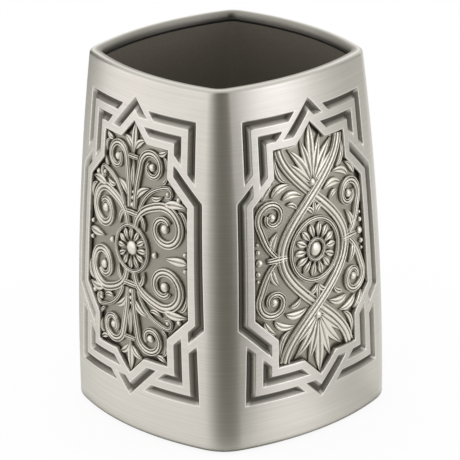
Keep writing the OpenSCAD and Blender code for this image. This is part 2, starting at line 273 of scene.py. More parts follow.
def counter_clockwise(loop):
    nxt = np.roll(loop, -1, axis=0)
    area = (loop[:, 0] * nxt[:, 1] - nxt[:, 0] * loop[:, 1]).sum()
    return loop if area > 0 else loop[::-1]


def moved_out(outline, out):
    """An outline with every edge moved out, and points along its edges."""
    edge = np.roll(outline, -1, axis=0) - outline
    length = np.linalg.norm(edge, axis=1)
    normal = np.stack([edge[:, 1], -edge[:, 0]], axis=1) / length[:, None]
    before = np.roll(normal, 1, axis=0)
    mitre = (normal + before) / (1 + (normal * before).sum(axis=1))[:, None]
    corner = outline + out * mitre
    points = []
    for i, size in enumerate(length):
        steps = max(2, math.ceil(size / EDGE_LENGTH))
        share = np.arange(steps)[:, None] / steps
        points.append(corner[i] * (1 - share) + corner[(i + 1) % len(corner)] * share)
    return np.concatenate(points)


GROOVE_DEPTH = 1.4
GROOVE_SLOPE = 32  # degrees that a groove's walls lean out
WINDOW_SLOPE = 10
WINDOW_SHADE_DEPTH = 0.2  # depth below which the patina and painted shade on a window's walls get no darker
WINDOW_WORN = 0.6  # share of a window's depth that has the worn section
WINDOW_TAPER = 0.1  # how far a window's back edge stands in
LIP_ROLL = 0.35  # radius of a strap's worn edge
EDGE_RUBBED_HIGHLIGHT = 0.2  # how bright that edge is rubbed, as wear and a painted highlight
FLOOR_ROLL = 0.3
ROLL_POINTS = 5
SUPPORT = 0.15  # narrow flat step beside a rolled edge, which keeps the wall's shading flat
EDGE_IN = 1.5  # depth of a window's edge, behind which a rebate takes the panel's flange
REBATE = 1.2


def sunk_section(depth, slope):
    """Steps from the wall's face over a worn edge and down a sloped side: moved out, and depth."""
    lean = math.radians(slope)
    turns = np.linspace(0, math.pi / 2 - lean, ROLL_POINTS)
    reach = math.tan((math.pi / 2 - lean) / 2)
    lip = [(LIP_ROLL * (reach - math.sin(a)), LIP_ROLL * (1 - math.cos(a))) for a in turns]
    floor = -depth * math.tan(lean)
    foot = [(floor - FLOOR_ROLL * (reach - math.sin(a)), depth - FLOOR_ROLL * (1 - math.cos(a)))
            for a in turns[::-1]]
    return [(lip[0][0] + SUPPORT, 0), *lip, *foot, (foot[-1][0] - SUPPORT, depth)]


def sunk_walls(outline, section):
    """An outline moved to every step of a section, and the walls between these loops."""
    loops = [moved_out(outline, out) for out, depth in section]
    rows = [on_wall(loop[:, 0], loop[:, 1], depth) for loop, (out, depth) in zip(loops, section)]
    return loops, loft(rows)


def worn_walls(outline, section, darkest):
    """Sunk walls with a rubbed edge, and the depth of their points down to where they are darkest: the edge
    gets a painted highlight, partly wear, and the depth sets the patina and painted shade.
    """
    loops, (points, faces) = sunk_walls(outline, section)
    rise = [max(-depth, -darkest) for out, depth in section]
    # Painted highlight, partly wear: the edge's first points are marked rubbed bright.
    rise[1:3] = [EDGE_RUBBED_HIGHLIGHT] * 2
    return loops, (points, faces, np.repeat(rise, len(loops[0])))


def shell_side():
    """Patches of the right side: its face, grooves and window, and its inner face."""
    groove_section = sunk_section(GROOVE_DEPTH, GROOVE_SLOPE)
    patches, holes = [], []
    for outline in groove_outlines():
        loops, walls = worn_walls(counter_clockwise(outline), groove_section, GROOVE_DEPTH)
        flat, faces = triangles(loops[-1])
        groove_floor = on_wall(flat[:, 0], flat[:, 1], GROOVE_DEPTH)
        patches += [walls, (groove_floor, faces, np.full(len(flat), -GROOVE_DEPTH))]
        holes.append(loops[0])
    window_section = [step for step in sunk_section(EDGE_IN, WINDOW_SLOPE) if step[1] < EDGE_IN * WINDOW_WORN]
    window_section += [(-WINDOW_TAPER, EDGE_IN), (REBATE, EDGE_IN), (REBATE, WALL)]
    loops, walls = worn_walls(counter_clockwise(field_outline()), window_section, WINDOW_SHADE_DEPTH)
    patches.append(walls)
    outer = side_plate(np.linspace(WALL_LOW, WALL_HIGH, WALL_LEVELS), 0, holes + [loops[0]])
    inner = side_plate(np.linspace(BASE_TOP, LIP_UNDER, WALL_LEVELS), WALL, [loops[-1]])
    return patches + [outer, inner]


def corner_strip(low, high, depth):
    return loft([plan_point(corner_angles, half_width(z) - depth, z)
                 for z in np.linspace(low, high, WALL_LEVELS)], closed=False)


def swept_round(section, closed=False):
    """A section carried round the body's plan."""
    return loft([plan_ring(half, z) for half, z in (section + section[:1] if closed else section)])


def closed_mesh(name, patches, raised=()):
    """One mesh from patches in millimetres, joined where their edges meet, with faces outwards.

    A third item of a patch says how far each point stands out of the face or, below zero, lies in it; the
    shell's material darkens by it with patina and painted shade, and adds a painted highlight where it is
    above zero."""
    work = bmesh.new()
    height = work.verts.layers.float.new("raised")

    def add_patch(points, faces, rise=()):
        verts = [work.verts.new(point) for point in points * MM]
        for vert, value in zip(verts, rise):
            vert[height] = value
        for face in faces:
            work.faces.new([verts[i] for i in face])

    for patch in patches:
        add_patch(*patch)
    bmesh.ops.remove_doubles(work, verts=work.verts, dist=WELD * MM)
    for patch in raised:
        add_patch(*patch)
    bmesh.ops.recalc_face_normals(work, faces=work.faces)
    mesh = bpy.data.meshes.new(name)
    work.to_mesh(mesh)
    work.free()
    mesh.shade_smooth()
    return mesh


def put_in_scene(name, data):
    thing = bpy.data.objects.new(name, data)
    bpy.context.scene.collection.objects.link(thing)
    return thing


def add_piece(name, mesh, material, slot, *nodes):
    """Puts a finished mesh in the scene in place of its CAD nodes."""
    piece = put_in_scene(name, mesh)
    mesh.materials.clear()
    mesh.materials.append(material)
    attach(piece, "root")
    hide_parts(*nodes)
    return piece


lip_half = RIM_HALF - RIM_IN
rim_section = arc(half_width(WALL_HIGH) - RIM_ROLL, WALL_HIGH, RIM_ROLL, RIM_ROUND, 0, 90)
rim_section += arc(lip_half + LIP_ROUND, HEIGHT - LIP_ROUND, LIP_ROUND, LIP_ROUND, 90, 180)
rim_section += [(lip_half, LIP_UNDER), (half_width(LIP_UNDER) - WALL, LIP_UNDER)]

ledge_half = half_width(BASE_TOP) - WALL
foot_section = [(ledge_half, BASE_TOP), (ledge_half + BASE_LEDGE, BASE_TOP),
                (half_width(SHELL_FOOT) - WALL + BASE_LEDGE, SHELL_FOOT)]
foot_section += arc(half_width(WALL_LOW) - FOOT_ROUND, WALL_LOW, FOOT_ROUND, FOOT_ROUND, -90, 0)

# The rim is rubbed bright where its rounding meets the top, as wear and a painted highlight, and darker down
# the lip, as if it lay that deep.
RUBBED_HIGHLIGHT_FROM = 0.6  # share of the rim's rounding below which it is plain
RIM_RUBBED_HIGHLIGHT = 0.3
LIP_START_DARK = 0.92
LIP_DARK = 1.16
rim_marks = [0, RUBBED_HIGHLIGHT_FROM * ROUND_STEPS, ROUND_STEPS,
             ROUND_STEPS + 1, 2 * ROUND_STEPS, len(rim_section) - 1]
rim_highlight_and_darkening = np.interp(np.arange(len(rim_section)), rim_marks,
                     [0, 0, RIM_RUBBED_HIGHLIGHT, -LIP_START_DARK, -LIP_DARK, -LIP_DARK])
rim_points, rim_faces = swept_round(rim_section)
rim_patch = (rim_points, rim_faces, np.repeat(rim_highlight_and_darkening, len(rim_points) // len(rim_section)))

side_patches = shell_side()
side_patches += [corner_strip(WALL_LOW, WALL_HIGH, 0), corner_strip(BASE_TOP, LIP_UNDER, WALL)]
shell_patches = [(quarter_turns(points, side), *rest)
                 for side in range(4) for points, *rest in side_patches]
shell_patches += [rim_patch, swept_round(foot_section)]


def set_inputs(tree, node, inputs):
    """Sets or links a node's inputs, by name or number."""
    for key, value in inputs.items():
        if isinstance(value, bpy.types.NodeSocket):
            tree.links.new(value, node.inputs[key])
        else:
            node.inputs[key].default_value = value


def add_node(tree, kind, inputs=None, **settings):
    node = tree.nodes.new(kind)
    for key, value in settings.items():
        setattr(node, key, value)
    set_inputs(tree, node, inputs or {})
    return node


def attribute(tree, name):
    return add_node(tree, "ShaderNodeAttribute", attribute_name=name).outputs["Fac"]


def math_node(tree, operation, *values):
    return add_node(tree, "ShaderNodeMath", dict(enumerate(values)), operation=operation).outputs[0]


def map_range(tree, value, low, high, first, last):
    return add_node(tree, "ShaderNodeMapRange", {0: value, 1: low, 2: high, 3: first, 4: last}).outputs[0]


def mix_colour(tree, share, first, second):
    return add_node(tree, "ShaderNodeMix", {0: share, 6: first, 7: second}, data_type="RGBA").outputs[2]


def noise(tree, place, scale, detail=2.0, roughness=0.5):
    return add_node(tree, "ShaderNodeTexNoise", {
        "Vector": place, "Scale": scale, "Detail": detail, "Roughness": roughness}).outputs[0]


def bump(tree, height, strength, depth):
    return add_node(tree, "ShaderNodeBump", {
        "Height": height, "Strength": strength, "Distance": depth}).outputs[0]


def new_material(name):
    material = bpy.data.materials.new(name)
    material.use_nodes = True
    return material, material.node_tree, material.node_tree.nodes["Principled BSDF"]


STREAK_SCALE = (35, 35, 2200)  # brush marks are long round the body and fine in height
STREAK_DEPTH = 0.00005
STREAK_DARK = (0.512, 0.495, 0.44, 1)
STREAK_BRIGHT = (0.743, 0.721, 0.648, 1)
RUBBED_HIGHLIGHT_METAL = (0.85, 0.828, 0.77, 1)
PATINA_SHADE_METAL = (0.17, 0.162, 0.135, 1)
PATINA_SHADE_FROM = 0.1  # depth at which the patina and painted shade start
PATINA_SHADE_FOOT = 1.1  # depth at the foot of a groove's wall
PATINA_SHADE_FLOOR = 1.38  # depth at which they are full
FOOT_SHARE = 0.55  # how much of it lies at the foot of a wall
PATINA_ROUGH = 0.25  # what it adds to the roughness
CLOUD_SCALE = 40.0
CLOUD_LOW = 0.3
CLOUD_HIGH = 0.7
SMOOTHEST = 0.38
ROUGHEST = 0.46


def brushed_pewter():
    """Metal with fine level brush marks, patina and painted shade that darken with depth, and edges rubbed
    bright as wear and a painted highlight.
    """
    material, tree, shader = new_material("brushed_pewter")
    place = add_node(tree, "ShaderNodeTexCoord").outputs["Object"]
    streak_place = add_node(tree, "ShaderNodeMapping", {"Vector": place, "Scale": STREAK_SCALE}).outputs[0]
    streaks = noise(tree, streak_place, 1.0, detail=4.0, roughness=0.65)
    sunk = attribute(tree, "raised")
    # Patina and painted shade: the deeper a point lies in a groove, a window or the lip, the darker its
    # colour.
    on_walls = map_range(tree, sunk, -PATINA_SHADE_FROM, -PATINA_SHADE_FOOT, 0.0, FOOT_SHARE)
    on_floors = map_range(tree, sunk, -PATINA_SHADE_FOOT, -PATINA_SHADE_FLOOR, 0.0, 1.0 - FOOT_SHARE)
    patina_and_shade = math_node(tree, "ADD", on_walls, on_floors)
    # Wear and painted highlight: rubbed edges of the rim and straps turn to a brighter colour.
    rubbed_highlight = map_range(tree, sunk, 0.0, RIM_RUBBED_HIGHLIGHT, 0.0, 1.0)
    tone = mix_colour(tree, streaks, STREAK_DARK, STREAK_BRIGHT)
    tone = mix_colour(tree, rubbed_highlight, tone, RUBBED_HIGHLIGHT_METAL)
    rough = map_range(tree, noise(tree, place, CLOUD_SCALE), CLOUD_LOW, CLOUD_HIGH, SMOOTHEST, ROUGHEST)
    tangent = add_node(tree, "ShaderNodeTangent", direction_type="RADIAL", axis="Z")
    set_inputs(tree, shader, {
        "Base Color": mix_colour(tree, patina_and_shade, tone, PATINA_SHADE_METAL),
        "Metallic": 1.0,
        "Roughness": math_node(tree, "MULTIPLY_ADD", patina_and_shade, PATINA_ROUGH, rough),
        "Normal": bump(tree, streaks, strength=0.5, depth=STREAK_DEPTH),
        "Anisotropic": 0.75,
        "Anisotropic Rotation": 0.25,
        "Tangent": tangent.outputs[0]})
    return material


pewter = brushed_pewter()
add_piece("shell", closed_mesh("shell", shell_patches), pewter, "shell_metal", "outer_shell")

# Relief panels: four castings in the same metal, each pressed into its window from behind and held by a
# thin flange. The ground is stippled and left dark, and scrolls, leaves and rosettes stand up from it to
# just under the straps. Front and back have scrolls, right and left a braid of two reeded bands.

GROUND_IN = 1.3  # depth of the ground below the shell's face
PANEL_EDGE = 0.9  # thickness of the flange
PANEL_GAP = 0.15
SEAT = 0.02  # play between the flange and the shell
RELIEF = 1.05  # height of the ornament
BERRY = 0.85  # greatest height of a berry above its middle
ROOT = 0.3  # how far the ornament's foot reaches into the ground
TIP = 0.1  # half width at the tip of a leaf
GROUND_STEP = 1.6
STROKE_STEP = 0.45
FEWEST_STEPS = 6  # along a stroke
CURVE_POINTS = 40
SPIRAL_POINTS = 160
RING_POINTS = 72
LEAF_POINTS = 15
STRAND_POINTS = 300


def around(centre, radius, turns):
    """Points round a centre, by radius and angle in degrees."""
    a = np.radians(turns)
    return np.array(centre) + np.stack([radius * np.cos(a), radius * np.sin(a)], axis=1)


def curve(start, start_way, end, end_way, pull=0.4):
    """A smooth line that leaves its start one way and reaches its end another."""
    start, end = np.array(start, float), np.array(end, float)
    reach = pull * np.linalg.norm(end - start)
    first = start + reach * np.array(start_way) / np.linalg.norm(start_way)
    last = end - reach * np.array(end_way) / np.linalg.norm(end_way)
    t = np.linspace(0, 1, CURVE_POINTS)[:, None]
    return (1 - t) ** 3 * start + 3 * t * (1 - t) ** 2 * first + 3 * t ** 2 * (1 - t) * last + t ** 3 * end


def winding(centre, outer, inner, start, sweep):
    """A spiral wound evenly from its outer to its inner radius, in degrees."""
    t = np.linspace(0, 1, SPIRAL_POINTS)
    return around(centre, outer + (inner - outer) * t, start + sweep * t)


def scroll(root, way, centre, outer, inner, start, sweep):
    """A stem that grows from its root and winds into a spiral."""
    spiral = winding(centre, outer, inner, start, sweep)
    stem = curve(root, way, spiral[0], spiral[1] - spiral[0])
    return np.concatenate([stem[:-1], spiral])


def stroke(path, halves, rises=(1, 1), closed=False):
    """A line with points evenly along it, its half width and its height there."""
    path = np.asarray(path, float)
    if closed:
        path = np.concatenate([path, path[:1]])
    at = np.concatenate([[0], np.cumsum(np.linalg.norm(np.diff(path, axis=0), axis=1))])
    share = np.linspace(0, 1, max(FEWEST_STEPS, math.ceil(at[-1] / STROKE_STEP)) + 1)
    even = np.stack([np.interp(share * at[-1], at, path[:, i]) for i in (0, 1)], axis=1)
    half = np.interp(share, np.linspace(0, 1, len(halves)), halves)
    rise = RELIEF * np.interp(share, np.linspace(0, 1, len(rises)), rises)
    if closed:
        even, half, rise = even[:-1], half[:-1], rise[:-1]
    return {"path": even, "half": half, "rise": rise, "closed": closed}


def leaf(root, tip, half, way=None, rises=(0.75, 1.0, 0.95, 0.6), fullest=0.42):
    """A leaf from root to tip; way is the direction in which it leaves the root."""
    root, tip = np.array(root, float), np.array(tip, float)
    straight = tip - root
    way = straight if way is None else np.array(way, float)
    bent = straight / np.linalg.norm(straight) * 2 - way / np.linalg.norm(way)
    power = math.log(0.5) / math.log(fullest)
    t = np.linspace(0, 1, LEAF_POINTS)
    return stroke(curve(root, way, tip, bent), TIP + (half - TIP) * np.sin(math.pi * t ** power), rises)


def ring(centre, radius, half, rises=(1, 1)):
    path = around(centre, radius, np.linspace(0, 360, RING_POINTS, endpoint=False))
    return stroke(path, (half, half), rises, closed=True)


def petals(count, near, far, half):
    """Leaves round the panel's centre."""
    ways = around((0, 0), 1, np.linspace(0, 360, count, endpoint=False))
    return [leaf(near * way, far * way, half, fullest=0.6) for way in ways]


def flipped(strokes, across, upward):
    """Copies mirrored across the panel's middle lines."""
    return [{**one, "path": one["path"] * (across, upward)} for one in strokes]


def both_sides(strokes):
    return strokes + flipped(strokes, -1, 1)


def both_ends(strokes):
    return strokes + flipped(strokes, 1, -1)


def spots(places, across=(1,), upward=(1,)):
    """Berries by place, radius and how far their middle is lifted, with copies across and upward."""
    return [(u * a, v * b, r, lift) for u, v, r, lift in places for a in across for b in upward]


def scroll_design():
    """Front and back: volutes on a stem, a rosette in the middle and palmettes at the ends.

    Places are across and up from the panel's middle, and the rest of it mirrors the upper right quarter."""
    large, middle, small = (13.5, 8.85), (8.0, 26.2), (14.6, 19.6)
    bands = both_ends(both_sides([
        stroke(scroll((1.7, 6.9), (0.1, 1), large, 6.75, 2.2, 112, -430), (1.1, 1.5, 1.55, 1.35, 0.95)),
        stroke(scroll((1.25, 12.4), (0, 1), middle, 4.85, 1.6, 176, -400), (0.9, 1.2, 1.25, 1.05, 0.8)),
        stroke(scroll((3.4, 12.4), (0.35, 1), small, 1.95, 0.9, 112, -250), (0.75, 0.75, 0.7, 0.6)),
    ]))
    bands += both_ends([stroke([(-2.9, 10.9), (2.9, 10.9)], (0.8, 1.0, 0.8), (1.1, 1.15, 1.1)),
                        stroke([(-2.3, 27.9), (2.3, 27.9)], (0.7, 0.85, 0.7), (1.1, 1.15, 1.1))])
    bands += [ring((0, 0), 7.0, 0.65, (0.95, 0.95))]
    leaves = both_ends(both_sides([
        leaf((13.2, 16.0), (21.4, 16.5), 1.45, (1, 0.35)),
        leaf((18.6, 15.0), (21.5, 9.8), 0.7, (1, 0)),
        leaf((8.2, 17.6), (12.6, 18.4), 0.85, (0.9, -0.6)),
        leaf((2.0, 15.6), (7.2, 19.6), 1.15, (0.4, 1)),
        leaf((3.4, 11.0), (5.6, 6.2), 0.8, (0.8, -0.5)),
        leaf((10.6, 30.9), (14.1, 32.4), 0.95, (1, -0.1)),
        leaf((12.5, 30.0), (14.0, 26.2), 0.6, (1, 0.2)),
        leaf((0.8, 30.2), (4.9, 33.5), 1.15, (0.3, 1)),
        leaf((12.3, 22.3), (14.3, 24.6), 0.6, (0.8, 0.2)),
    ]))
    leaves += both_ends([leaf((0, 28.4), (0, 38.3), 1.45, fullest=0.55), leaf((0, 18.8), (0, 27.0), 0.95)])
    leaves += both_sides([leaf((21.7, 0), (13.6, 0), 1.45, fullest=0.36)])
    leaves += petals(12, 2.5, 6.4, 0.95)
    both = (1, -1)
    berries = [(0, 0, 2.3, 0.2)]
    berries += spots([(*large, 1.5, 0.3), (*middle, 1.25, 0.3), (*small, 0.8, 0.25),
                      (20.9, 2.5, 0.8, 0.2), (18.6, 18.6, 0.9, 0.2)], both, both)
    berries += spots([(9.6, 0, 1.05, 0.2)], both)
    berries += spots([(0, 13.3, 0.9, 0.2), (0, 15.4, 0.75, 0.2), (0, 17.1, 0.6, 0.2)], (1,), both)
    return bands, leaves, berries


BRAID_END = 32.4  # how far the bands run up and down from the middle
BRAID_SWING = 12.6  # how far they swing out
BRAID_LOOP = 34.0  # height of the loop between two crossings
BRAID_HALF = 1.75
DIP = 0.6
DIP_LENGTH = 3.1


def strand(side):
    """One band of the braid; it dips where the other one passes over it."""
    v = np.linspace(-BRAID_END, BRAID_END, STRAND_POINTS)
    path = np.stack([side * BRAID_SWING * np.cos(math.pi * v / BRAID_LOOP), v], axis=1)
    under = np.exp(-((v - side * BRAID_LOOP / 2) / DIP_LENGTH) ** 2)
    return stroke(path, (BRAID_HALF, BRAID_HALF), 1 - DIP * under)


def braid_design():
    """Right and left: two bands plaited round a rosette, with scrolls at their sides and palmettes."""
    curl = (15.7, 12.9)
    bands = both_ends(both_sides([
        stroke(scroll((14.6, 0.9), (0.75, 0.66), curl, 4.9, 1.6, -28, 410), (0.9, 1.25, 1.25, 1.05, 0.8)),
    ]))
    bands += [strand(1), strand(-1), ring((0, 0), 9.3, 0.8, (0.95, 0.95)), ring((0, 0), 3.2, 0.55, (1, 1))]
    bands += both_sides([stroke([(11.0, 0), (17.6, 0)], (0.9, 1.15, 0.9), (1.12, 1.15, 1.1))])
    leaves = both_ends(both_sides([
        leaf((18.9, 18.3), (14.9, 22.9), 1.05, (-0.3, 1)),
        leaf((11.8, 17.3), (4.3, 17.0), 1.3, (-0.8, 0.6)),
        leaf((15.6, 18.6), (8.6, 21.4), 1.25, (-0.5, 0.9)),
        leaf((10.3, 15.4), (6.4, 13.4), 0.85, (-0.9, 0.3)),
        leaf((16.2, 2.2), (13.8, 8.2), 1.2, (0.1, 1)),
        leaf((10.4, 22.5), (13.8, 30.6), 0.9, (1, 0.5)),
        leaf((0.5, 21.4), (4.2, 34.2), 1.6, (0.2, 1)),
        leaf((0.7, 21.0), (9.0, 31.9), 1.6, (0.5, 1)),
        leaf((0.9, 20.6), (9.1, 27.9), 1.3, (0.9, 0.8)),
        leaf((0.4, 10.8), (3.7, 13.3), 0.9, (0.3, 1)),
    ]))
    leaves += both_ends([leaf((0, 21.6), (0, 38.3), 1.75, fullest=0.6), leaf((0, 10.6), (0, 15.4), 0.95)])
    leaves += petals(14, 3.6, 8.2, 1.15)
    both = (1, -1)
    berries = [(0, 0, 2.2, 0.25)]
    berries += spots([(*curl, 1.3, 0.3), (20.6, 3.3, 0.85, 0.2), (20.7, 5.6, 0.6, 0.2)], both, both)
    berries += spots([(20.2, 0, 1.2, 0.2)], both)
    berries += spots([(0, 20.4, 1.3, 0.25)], (1,), both)
    return bands, leaves, berries


SECTION_STEPS = 24  # steps over the top of a band's section, whose foot has two more points
SHOULDER = 6.0  # how square a band's shoulders are
BERRY_SEGMENTS = 24


def band_tree():
    """Geometry Nodes: a lined section swept along each line of a drawing, and a berry on each spot."""
    tree = bpy.data.node_groups.new("relief_band", "GeometryNodeTree")
    tree.interface.new_socket("Drawing", in_out="INPUT", socket_type="NodeSocketGeometry")
    for name in ("Line Place", "Line Width", "Line Depth", "Foot", "Berry Height"):
        tree.interface.new_socket(name, in_out="INPUT", socket_type="NodeSocketFloat")
    tree.interface.new_socket("Metal", in_out="INPUT", socket_type="NodeSocketMaterial")
    tree.interface.new_socket("Relief", in_out="OUTPUT", socket_type="NodeSocketGeometry")
    given = tree.nodes.new("NodeGroupInput").outputs

    def work_out(operation, *values):
        return math_node(tree, operation, *values)

    def named(name):
        return add_node(tree, "GeometryNodeInputNamedAttribute", {"Name": name}, data_type="FLOAT").outputs[0]

    circle = add_node(tree, "GeometryNodeCurvePrimitiveCircle",
                      {"Resolution": SECTION_STEPS + 3, "Radius": 1.0}, mode="RADIUS")
    index = tree.nodes.new("GeometryNodeInputIndex").outputs[0]
    above = work_out("LESS_THAN", index, SECTION_STEPS + 0.5)
    below = work_out("SUBTRACT", 1.0, above)
    top_across = work_out("SUBTRACT", 1.0, work_out("MULTIPLY", index, 2 / SECTION_STEPS))
    foot_across = work_out("SUBTRACT", work_out("MULTIPLY", index, 2.0), 2 * SECTION_STEPS + 3.0)
    across = work_out("ADD", work_out("MULTIPLY", above, top_across),
                      work_out("MULTIPLY", below, foot_across))
    off_middle = work_out("ABSOLUTE", across)
    fullness = work_out("SUBTRACT", 1.0, work_out("POWER", off_middle, SHOULDER))
    edge = work_out("SQRT", work_out("MAXIMUM", 0.0, fullness))
    off_line = work_out("DIVIDE", work_out("SUBTRACT", off_middle, given["Line Place"]), given["Line Width"])
    near_line = work_out("EXPONENT", work_out("MULTIPLY", work_out("MULTIPLY", off_line, off_line), -1.0))
    hollow = work_out("MULTIPLY", given["Line Depth"], near_line)
    top = work_out("MULTIPLY", edge, work_out("SUBTRACT", 1.0, hollow))
    flat_place = add_node(tree, "ShaderNodeCombineXYZ", {0: across}).outputs[0]
    outline = add_node(tree, "GeometryNodeSetPosition",
                       {"Geometry": circle.outputs["Curve"], "Position": flat_place})
    section_height = work_out("SUBTRACT", work_out("MULTIPLY", top, above), below)
    section = add_node(tree, "GeometryNodeStoreNamedAttribute",
                       {"Geometry": outline.outputs[0], "Name": "section", "Value": section_height},
                       data_type="FLOAT", domain="POINT")
    lines = add_node(tree, "GeometryNodeMeshToCurve", {"Mesh": given["Drawing"]})
    upright = add_node(tree, "GeometryNodeSetCurveNormal", {"Curve": lines.outputs[0]}, mode="Z_UP")
    swept = add_node(tree, "GeometryNodeCurveToMesh",
                     {"Curve": upright.outputs[0], "Profile Curve": section.outputs[0],
                      "Scale": named("half_width"), "Fill Caps": True})
    here = add_node(tree, "ShaderNodeSeparateXYZ",
                    {0: tree.nodes.new("GeometryNodeInputPosition").outputs[0]}).outputs
    raised = work_out("MULTIPLY", named("rise"), work_out("MAXIMUM", named("section"), 0.0))
    foot = work_out("MULTIPLY", given["Foot"], work_out("MINIMUM", named("section"), 0.0))
    band_place = add_node(tree, "ShaderNodeCombineXYZ",
                          {0: here["X"], 1: here["Y"], 2: work_out("ADD", raised, foot)}).outputs[0]
    bands = add_node(tree, "GeometryNodeSetPosition", {"Geometry": swept.outputs[0], "Position": band_place})
    size = named("berry")
    points = add_node(tree, "GeometryNodeMeshToPoints",
                      {"Mesh": given["Drawing"], "Selection": work_out("GREATER_THAN", size, 0.0)})
    dome = add_node(tree, "GeometryNodeMeshUVSphere",
                    {"Segments": BERRY_SEGMENTS, "Rings": BERRY_SEGMENTS // 2, "Radius": 1.0})
    low = work_out("MINIMUM", size, given["Berry Height"])
    berry_size = add_node(tree, "ShaderNodeCombineXYZ", {0: size, 1: size, 2: low}).outputs[0]
    berries = add_node(tree, "GeometryNodeInstanceOnPoints",
                       {"Points": points.outputs[0], "Instance": dome.outputs[0], "Scale": berry_size})
    joined = tree.nodes.new("GeometryNodeJoinGeometry")
    tree.links.new(berries.outputs[0], joined.inputs[0])
    tree.links.new(bands.outputs[0], joined.inputs[0])
    plain = add_node(tree, "GeometryNodeRealizeInstances", {"Geometry": joined.outputs[0]})
    done = add_node(tree, "GeometryNodeSetMaterial",
                    {"Geometry": plain.outputs[0], "Material": given["Metal"]})
    out = tree.nodes.new("NodeGroupOutput")
    tree.links.new(done.outputs[0], out.inputs[0])
    return tree


# Engraved lines, as shares of a stroke's half width and height: two on a band, a vein on a leaf.
REEDS = {"Line Place": 0.43, "Line Width": 0.13, "Line Depth": 0.72}
VEIN = {"Line Place": 0.0, "Line Width": 0.18, "Line Depth": 0.5}


def carved(tree, strokes, berries, line, metal):
    """The relief of strokes and berries as a plain flat mesh: points across, up and out, and faces."""
    points, edges, half, rise, berry = [], [], [], [], []
    for one in strokes:
        first, count = len(points), len(one["path"])
        points += [(u * MM, v * MM, 0) for u, v in one["path"]]
        edges += [(first + i, first + i + 1) for i in range(count - 1)]
        if one["closed"]:
            edges.append((first + count - 1, first))
        half += list(one["half"] * MM)
        rise += list(one["rise"] * MM)
        berry += [0.0] * count
    for u, v, radius, lift in berries:
        points.append((u * MM, v * MM, lift * MM))
        half.append(0.0)
        rise.append(0.0)
        berry.append(radius * MM)
    mesh = bpy.data.meshes.new("drawing")
    mesh.from_pydata(points, edges, [])
    for name, values in (("half_width", half), ("rise", rise), ("berry", berry)):
        mesh.attributes.new(name, "FLOAT", "POINT").data.foreach_set("value", values)
    drawing = put_in_scene("drawing", mesh)
    modifier = drawing.modifiers.new("relief", "NODES")
    modifier.node_group = tree
    sizes = {**line, "Foot": ROOT * MM, "Berry Height": BERRY * MM, "Metal": metal}
    for item in tree.interface.items_tree:
        if item.name in sizes:
            modifier[item.identifier] = sizes[item.name]
    ready = drawing.evaluated_get(bpy.context.evaluated_depsgraph_get())
    relief = bpy.data.meshes.new_from_object(ready)
    drawing.modifiers.remove(modifier)
    bpy.data.objects.remove(drawing)
    flat = np.empty(len(relief.vertices) * 3)
    relief.vertices.foreach_get("co", flat)
    faces = [list(face.vertices) for face in relief.polygons]
    bpy.data.meshes.remove(relief)
    bpy.data.meshes.remove(mesh)
    return flat.reshape(-1, 3) / MM, faces


def panel_plate():
    """The plate that fills the window, with the flange behind its edge."""
    flange_out = REBATE - PANEL_GAP
    flange_front, flange_back = EDGE_IN + SEAT, EDGE_IN + PANEL_EDGE
    section = [(-PANEL_GAP, GROUND_IN), (-PANEL_GAP, flange_front),
               (flange_out, flange_front), (flange_out, flange_back)]
    loops, walls = sunk_walls(counter_clockwise(field_outline()), section)
    patches = [walls]
    for loop, depth in ((loops[0], GROUND_IN), (loops[-1], flange_back)):
        steps = [np.arange(low + GROUND_STEP, high, GROUND_STEP)
                 for low, high in zip(loop.min(axis=0), loop.max(axis=0))]
        grid = np.stack(np.meshgrid(*steps), axis=-1).reshape(-1, 2)
        grid = grid[inside(grid, loop)]
        grid = grid[distance_to(grid, loop) > CLEAR]
        flat, faces = triangles(loop, extra=grid)
        patches.append((on_wall(flat[:, 0], flat[:, 1], depth), faces))
    return patches


def bent(relief):
    """Flat relief laid on the ground of the right side's panel."""
    points, faces = relief
    place = leaned(points[:, :2])
    return on_wall(place[:, 0], place[:, 1], GROUND_IN - points[:, 2]), faces, points[:, 2] / RELIEF


STIPPLE_SCALE = 2600.0
STIPPLE_DEPTH = 0.0001
WORN_LOW = 0.15  # shares of the relief's height between which it goes from dark to bright
WORN_HIGH = 0.8
# Painted shade: hollows of the relief, found by how open they are, darken towards this colour.
HOLLOW_SHADE_METAL = (0.195, 0.184, 0.15, 1)
HOLLOW_SHADE_REACH = 0.0012
SHUT_IN = 0.25  # shares of open air at which a hollow's painted shade is full, and clear
OPEN = 0.7


def cast_relief(name, ground, top):
    """Cast metal with a stippled dark ground, painted shade in its hollows, partly patina, and worn bright
    tops.
    """
    material, tree, shader = new_material(name)
    place = add_node(tree, "ShaderNodeTexCoord").outputs["Object"]
    worn = map_range(tree, attribute(tree, "raised"), WORN_LOW, WORN_HIGH, 0.0, 1.0)
    hollow = add_node(tree, "ShaderNodeAmbientOcclusion", {"Distance": HOLLOW_SHADE_REACH},
                      samples=8, only_local=True)
    open_air = map_range(tree, hollow.outputs["AO"], SHUT_IN, OPEN, 0.0, 1.0)
    set_inputs(tree, shader, {
        "Base Color": mix_colour(tree, open_air, HOLLOW_SHADE_METAL, mix_colour(tree, worn, ground, top)),
        "Metallic": 1.0,
        "Roughness": 0.4,
        "Normal": bump(tree, noise(tree, place, STIPPLE_SCALE), strength=0.8, depth=STIPPLE_DEPTH)})
    return material


